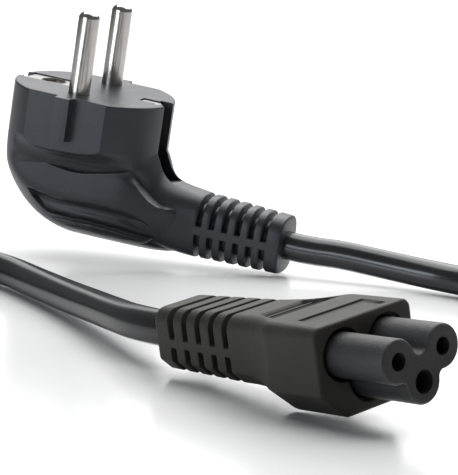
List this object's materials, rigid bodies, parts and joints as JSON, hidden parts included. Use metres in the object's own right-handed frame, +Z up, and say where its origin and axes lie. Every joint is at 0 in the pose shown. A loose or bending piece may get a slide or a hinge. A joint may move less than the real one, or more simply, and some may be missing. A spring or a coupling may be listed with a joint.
{
  "type": "cloverleaf power cord",
  "caption": "Black mains lead with an angled two-pin earthed plug, a slotted strain relief at each end, a coiled cord and a cloverleaf connector.",
  "frame": {"origin": "middle of the footprint of the plug and the connector together, at the height of the floor they lie on", "axes": "+Z up, away from the floor; +X the way the cord leaves the plug; +Y from the connector towards the plug"},
  "size_m": [0.198, 0.2615, 0.0577],
  "materials": {
    "plug moulding": "semi-gloss black moulded PVC",
    "connector moulding": "satin black moulded plastic with a fine grain",
    "cord jacket": "smooth glossy black PVC jacket",
    "tie": "matte black strap",
    "nickel": "nickel-plated brass, polished"
  },
  "bodies": {
    "root": {"plug_body": "plug moulding", "plug_pin_near": "nickel", "plug_pin_far": "nickel", "plug_earth_strip": "nickel", "plug_earth_clip": "nickel", "plug_earth_sleeve": "nickel", "connector_body": "connector moulding", "cloverleaf_nose": "connector moulding", "contact_sleeve_near": "nickel", "contact_sleeve_far": "nickel", "contact_sleeve_earth": "nickel", "cord_plug_side": "cord jacket", "cord_connector_side": "cord jacket", "cord_coil": "cord jacket", "coil_tie": "tie"}
  },
  "joints": []
}
